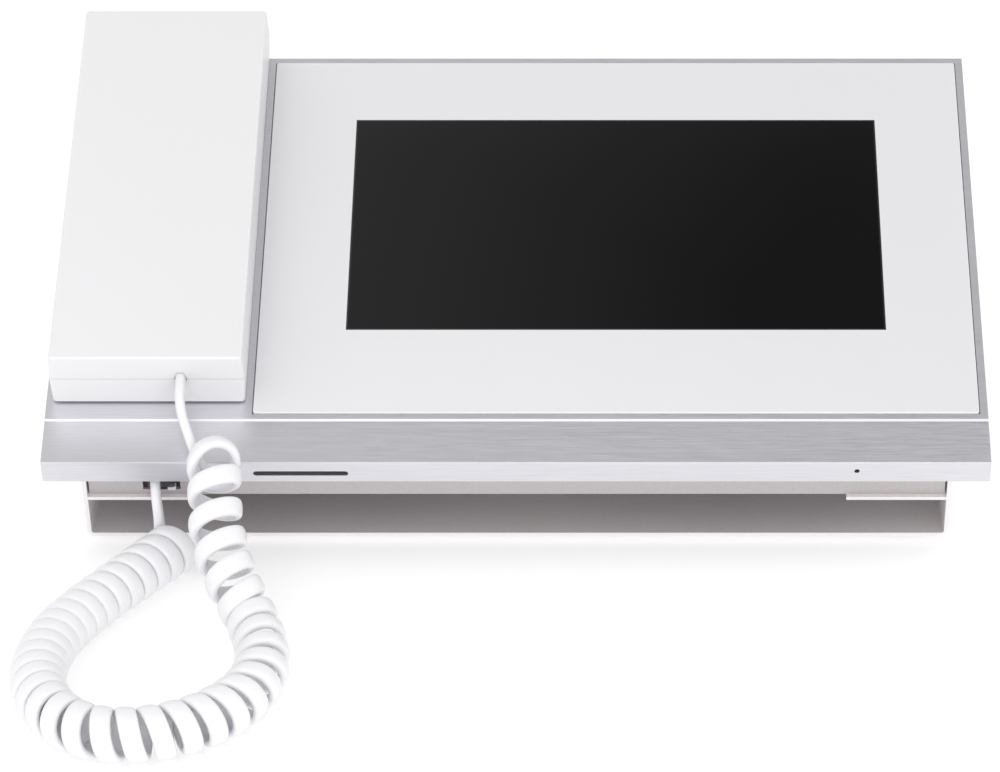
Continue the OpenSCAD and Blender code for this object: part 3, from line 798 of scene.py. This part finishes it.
@dataclass
class CoiledCord:
    """The handset's cord: a lead, a long coil that hangs and lies in a loop, and a lead to the socket."""

    width: float = 5.6
    thickness: float = 2.8
    coil_radius: float = 6.3
    step: float = 0.8
    sides: int = 20
    squareness: float = 2.7
    upper_lead: list[list[float]] = field(default_factory=lambda: [
        [-93.7, -66, 50.4], [-93.5, -69.5, 48.5], [-92.7, -73, 45.9], [-91.2, -76, 42.7], [-89.2, -79, 38.3],
        [-86.6, -81.4, 34.4], [-84, -83.2, 31.2]])
    coil_axis: list[list[float]] = field(default_factory=lambda: [
        [-83.9, -80.9, 36.3], [-83.3, -85.4, 37.2], [-82.9, -89.4, 35.6], [-82.6, -93.2, 32.6],
        [-82.4, -97.7, 28.8], [-81.4, -102.6, 24.8], [-80, -107.2, 21], [-77.8, -111.8, 17.4],
        [-75.5, -115.8, 14], [-73, -119.4, 10.9], [-70.3, -125.4, 8.5], [-67.8, -136, 7.9],
        [-67.4, -148, 7.9], [-70.6, -160, 7.9], [-77.6, -170, 7.9], [-87.4, -177, 7.9],
        [-98.6, -180.2, 7.9], [-109.8, -178.6, 7.9], [-119, -171, 7.9], [-124.8, -159.6, 7.9],
        [-126.6, -146.6, 7.9], [-124.6, -132, 7.9], [-119.6, -119.4, 7.9], [-113.4, -108, 7.9],
        [-107, -97.6, 7.9], [-101.4, -88.6, 7.9], [-96.6, -81, 7.9], [-95, -78.2, 7.9]])
    lower_lead: list[list[float]] = field(default_factory=lambda: [
        [-101.2, -72.3, 22.8], [-100.8, -74.6, 20], [-100.4, -75.4, 16.4], [-100.2, -75.2, 12.6],
        [-100.1, -75.1, 10]])
    exit_panel: tuple[float, float, float] = (-93.8, 3.1, 9.4)
    socket_panel: tuple[float, float, float] = (-101.5, -12.7, -13.5)
    pitch_at: tuple[float, ...] = (0, 8, 13, 22, 32, 42, 52, 62, 76, 92, 105, 150, 165, 200, 215, 262)
    pitch: tuple[float, ...] = (7.2, 7.8, 10.2, 9.3, 8.6, 8.0, 8.0, 9.0, 8.8, 7.4, 6.7, 6.6, 5.7, 5.6,
                                6.1, 6.1)
    first_turn: float = 92.0
    settle: float = 60.0
    settle_over: float = 20.0
    radius_sway: float = 0.16
    radius_less: float = 0.12
    turn_sway: float = 0.06
    join_reach: float = 6.0
    stretch_from: tuple[float, float, float] = (-93.8, -80.6, 40.4)

    def axis_frame(self) -> tuple[Array, Array, Array, Array]:
        """Finds the coil's axis and two directions square to it.

        The first direction is -x while the coil hangs, and the level direction
        t x z once it lies on the desk, blended by smoothstep over the settling
        length; the second is t x first.

        Returns:
            The axis points, their tangents, and the two directions.
        """
        axis = resample(through(self.coil_axis), 0.25)
        s = lengths(axis)
        tangent = unit(np.gradient(axis, axis=0))
        level = np.cross(tangent, np.array([0.0, 0.0, 1.0]))
        w = smoothstep((s - self.settle) / self.settle_over)[:, None]
        rough = (1 - w) * np.array([-1.0, 0.0, 0.0]) + w * level
        first = unit(rough - np.sum(rough * tangent, axis=1, keepdims=True) * tangent)
        return axis, tangent, first, np.cross(tangent, first)

    def coil(self, ends_at: Array) -> tuple[Array, Array]:
        """Winds the coil: axis + r (first cos f + second sin f), f growing by 2 pi for each pitch.

        The radius sways by radius_sway and the turn by turn_sway radians, as a used
        cord's do, and radius_less is taken off the radius all along.

        Args:
            ends_at: The point that the last turn comes nearest to.

        Returns:
            The coil's centreline and the axis direction at each of its points.
        """
        axis, tangent, first, second = self.axis_frame()
        s = lengths(axis)
        rate = 2 * math.pi / np.interp(s, self.pitch_at, self.pitch)
        turn = np.concatenate([[0.0], np.cumsum((rate[1:] + rate[:-1]) / 2 * np.diff(s))])
        away = ends_at - axis[-1]
        last = math.atan2(float(away @ second[-1]), float(away @ first[-1]))
        begin = math.radians(self.first_turn)
        whole = round((turn[-1] + begin - last) / (2 * math.pi)) * 2 * math.pi
        turn = begin + turn * (whole + last - begin) / turn[-1]
        turn = turn + self.turn_sway * np.sin(s / 9.3) * np.sin(s / s[-1] * math.pi)
        sway = self.radius_sway * np.sin(s / 13.0) * smoothstep(s / 30.0)
        radius = self.coil_radius + sway - self.radius_less
        line = axis + radius[:, None] * (first * np.cos(turn)[:, None] + second * np.sin(turn)[:, None])
        log.info("coil: %.1f turns on %.0f mm", (turn[-1] - turn[0]) / (2 * math.pi), s[-1])
        return line, tangent

    def centreline(self) -> tuple[Array, Array]:
        """Joins the two leads to the coil and eases the joins.

        Returns:
            Evenly spaced points in millimetres, and the direction of the
            jacket's width at each.
        """
        start = PANEL.place(np.array(self.exit_panel)) / MM
        end = PANEL.place(np.array(self.socket_panel)) / MM
        upper = resample(through([start.tolist()] + self.upper_lead), 0.25)
        lower = resample(through([end.tolist()] + self.lower_lead), 0.25)[::-1]
        coil, tangent = self.coil(lower[0])
        flat_up = self.lead_width(upper)
        flat_low = self.lead_width(lower)
        line = np.vstack([upper, coil[1:], lower[1:]])
        width = np.vstack([flat_up, tangent[1:], flat_low[1:]])
        joins = [lengths(line)[len(upper) - 1], lengths(line)[len(upper) + len(coil) - 2]]
        s = lengths(line)
        t = np.linspace(0.0, s[-1], int(round(s[-1] / self.step)) + 1)
        line = np.stack([np.interp(t, s, line[:, i]) for i in range(3)], axis=1)
        width = np.stack([np.interp(t, s, width[:, i]) for i in range(3)], axis=1)
        near = sum(np.exp(-(((t - j) / self.join_reach) ** 2)) for j in joins)[:, None]
        near[:4], near[-4:] = 0.0, 0.0
        line = line + np.clip(near, 0, 1) * (self.blurred(line, 3.0) - line)
        width = self.blurred(width, 4.0)
        return line, width

    def lead_width(self, path: Array) -> Array:
        """Stands the jacket's width upright along a lead: x cross the tangent."""
        tangent = unit(np.gradient(path, axis=0))
        return unit(np.cross(np.array([-1.0, 0.0, 0.0]), tangent))

    def blurred(self, values: Array, reach: float) -> Array:
        """Averages rows over a bell of the given reach in millimetres, holding the ends.

        Args:
            values: One row for each point of the centreline.
            reach: The bell's standard deviation.

        Returns:
            The averaged rows.
        """
        k = int(math.ceil(3 * reach / self.step))
        bell = np.exp(-0.5 * (np.arange(-k, k + 1) * self.step / reach) ** 2)
        bell /= bell.sum()
        padded = np.pad(values, ((k, k), (0, 0)), mode="edge")
        columns = [np.convolve(padded[:, i], bell, mode="valid") for i in range(values.shape[1])]
        return np.stack(columns, axis=1)

    def build(self, wardrobe: Wardrobe) -> bpy.types.Object:
        """Args:
            wardrobe: The finishes.

        Returns:
            The cord.
        """
        line, width = self.centreline()
        tangent = unit(np.gradient(line, axis=0))
        wide = unit(width - np.sum(width * tangent, axis=1, keepdims=True) * tangent)
        thin = np.cross(tangent, wide)
        a = np.arange(self.sides) * 2 * math.pi / self.sides
        power = 2.0 / self.squareness
        u = self.width / 2 * np.sign(np.cos(a)) * np.abs(np.cos(a)) ** power
        v = self.thickness / 2 * np.sign(np.sin(a)) * np.abs(np.sin(a)) ** power
        rings = line[:, None, :] + u[None, :, None] * wide[:, None, :] + v[None, :, None] * thin[:, None, :]
        piece = ring_solid("coiled_cord", rings * MM, smooth=60.0)
        self.unwrap(piece, line)
        dress(piece, wardrobe.get("cord_white"), None)
        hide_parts("upper_lead", "curly_cord", "lower_lead")
        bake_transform(piece)
        return piece

    def unwrap(self, piece: bpy.types.Object, line: Array) -> None:
        """Gives the jacket a UV map: u once round, v the distance along it in millimetres.

        Args:
            piece: The cord.
            line: Its centreline in millimetres.
        """
        mesh = piece.data
        layer = mesh.uv_layers.new(name="jacket")
        corner = np.zeros(len(mesh.loops), np.int64)
        mesh.loops.foreach_get("vertex_index", corner)
        face = np.repeat(np.arange(len(mesh.polygons)), [p.loop_total for p in mesh.polygons])
        ring, side = corner // self.sides, corner % self.sides
        first = np.full(len(mesh.polygons), self.sides)
        np.minimum.at(first, face, side)
        wraps = np.zeros(len(mesh.polygons), bool)
        np.logical_or.at(wraps, face, side == self.sides - 1)
        seam = wraps[face] & (side == 0) & (first[face] == 0)
        along = lengths(line)[np.minimum(ring, len(line) - 1)]
        uv = np.stack([(side + self.sides * seam) / self.sides, along], axis=1)
        layer.data.foreach_set("uv", uv.astype(np.float32).ravel())


# ---------------------------------------------------------------- sub-assemblies


@dataclass
class FrontFrame:
    """The brushed aluminium frame with its chin, slot and microphone hole."""

    edge: float = 0.12

    def build(self, wardrobe: Wardrobe) -> None:
        """Breaks the frame's edges and dresses it."""
        piece = softened("front_frame", "front_frame_brushed", self.edge, 2, crisp=8.0)
        dress(piece, wardrobe.get("brushed_aluminium"), Body.ROOT)


@dataclass
class CoverGlass:
    """The printed cover glass: a plate with polished, rounded edges."""

    centre: tuple[float, float] = (27.9, 71.35)
    size: tuple[float, float] = (203.8, 142.7)
    thickness: float = 2.0
    corner: float = 0.8
    edge: float = 0.25

    def build(self, wardrobe: Wardrobe) -> None:
        """Stacks rounded rectangles: inset r - r cos a at height -(r - r sin a), front and back.

        Args:
            wardrobe: The finishes.
        """
        front = edge_round(self.edge)
        rows = [(i, -d) for i, d in front[::-1]] + [(i, d - self.thickness) for i, d in front]
        rings = []
        for inset, n in rows:
            ring = rounded_ring(self.size[0] / 2 - inset, self.size[1] / 2 - inset, self.corner, 6)
            rings.append(np.column_stack([ring + np.array(self.centre), np.full(len(ring), n)]))
        piece = ring_solid("cover_glass_plate", PANEL.place(np.array(rings)), smooth=50.0)
        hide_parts("cover_glass")
        dress(piece, wardrobe.get("white_glass"), Body.ROOT)


@dataclass
class SteelWork:
    """The back box and the folded desk stand."""

    box_edge: float = 0.35
    straight_down: float = 0.97

    def build(self, wardrobe: Wardrobe) -> None:
        """Breaks the edges of the box and the stand and dresses them."""
        steel = wardrobe.get("zinc_steel")
        box = softened("back_box", "back_box_folded", self.box_edge, 3, crisp=22.0)
        dress(box, steel, Body.ROOT)
        stand = softened("desk_stand", "desk_stand_folded", 0.0, crisp=22.0)
        # The stand wears a paler, duller copy of the zinc steel: painted light for its shaded inside
        dress(stand, STAND_SHEET_PAINTED_LIGHTER.build(), Body.ROOT)
        self.bare_edges_painted_bright(stand)

    def bare_edges_painted_bright(self, stand: bpy.types.Object) -> None:
        """Gives the sheared finish, bare metal with a painted highlight, to the faces that look straight down
        the panel: -normal . panel y > 0.97.

        Args:
            stand: The stand.
        """
        # The cut edges get a near-white finish: bare metal with a painted highlight
        stand.data.materials.append(SHEARED_EDGE_PAINTED_BRIGHT.build())
        normals = np.zeros(len(stand.data.polygons) * 3, np.float32)
        stand.data.polygons.foreach_get("normal", normals)
        c, t = PANEL.cos_sin()
        bare_and_bright = normals.reshape(-1, 3) @ np.array([0.0, -c, -t]) > self.straight_down
        stand.data.polygons.foreach_set("material_index", bare_and_bright.astype(np.int32))


@dataclass
class SmallParts:
    """Feet, pads, screws and the plug: moulded or turned parts with lightly broken edges."""

    edges: tuple[tuple[str, float, str, Body], ...] = (
        ("rubber_feet", 0.35, "black_rubber", Body.ROOT),
        ("rest_pads", 0.12, "clear_rubber", Body.ROOT),
        ("box_screws", 0.12, "screw_steel", Body.ROOT),
        ("stand_screws", 0.15, "screw_steel", Body.ROOT),
        ("handset_screws", 0.12, "screw_steel", Body.HANDSET),
        ("cord_plug", 0.2, "clear_plastic", Body.ROOT),
        ("handset_socket", 0.15, "black_plastic", Body.ROOT),
        ("hook_plunger", 0.3, "white_plastic", Body.PLUNGER),
    )
    tab_centre: tuple[float, float] = (-97.1, -18.0)
    tab_size: tuple[float, float] = (2.3, 1.7)
    tab_from: float = -11.0
    tab_out: float = 1.5
    tab_round: float = 0.25
    tab_corner: float = 0.3

    def build(self, wardrobe: Wardrobe) -> None:
        """Breaks each part's edges, dresses it, and adds the latch that shows beside the cord's lead."""
        for node, edge, slot, body in self.edges:
            dress(softened(node, node + "_finished", edge, 2), wardrobe.get(slot), body)
        # The latch is part of the clear plug, but it is drawn with the pale rubber's finish
        dress(self.latch_tab(), wardrobe.get("clear_rubber"), Body.ROOT)

    def latch_tab(self) -> bpy.types.Object:
        """Stacks rounded rectangles down the panel, the last ones inset by r - r cos a to round its end."""
        end = edge_round(self.tab_round)
        rows = [(0.0, 0.0)] + [(i, self.tab_out - d) for i, d in end]
        rings = []
        for inset, out in rows:
            ring = rounded_ring(self.tab_size[0] / 2 - inset, self.tab_size[1] / 2 - inset,
                                self.tab_corner, 5)
            x, n = ring[:, 0] + self.tab_centre[0], ring[:, 1] + self.tab_centre[1]
            rings.append(np.column_stack([x, np.full(len(ring), self.tab_from - out), n]))
        return ring_solid("plug_latch_tab", PANEL.place(np.array(rings)), smooth=50.0)


@dataclass
class Handset:
    """The lift-off handset's two shells."""

    parting_edge: float = 0.16

    def build(self, wardrobe: Wardrobe) -> None:
        """Softens the shells' parting edges, which leaves the fine line round them."""
        white = wardrobe.get("white_plastic")
        for node in ("handset_upper_shell", "handset_lower_shell"):
            shell = softened(node, node + "_moulded", self.parting_edge, 2)
            dress(shell, white, Body.HANDSET)


def main() -> None:
    """Builds the model piece by piece."""
    logging.basicConfig(level=logging.INFO, format="%(name)s: %(message)s")
    wardrobe = Wardrobe()
    Studio().build()
    CoiledCord().build(wardrobe)
    wardrobe.dress_frame()
    FrontFrame().build(wardrobe)
    CoverGlass().build(wardrobe)
    SteelWork().build(wardrobe)
    SmallParts().build(wardrobe)
    Handset().build(wardrobe)


if __name__ == "__main__":
    main()
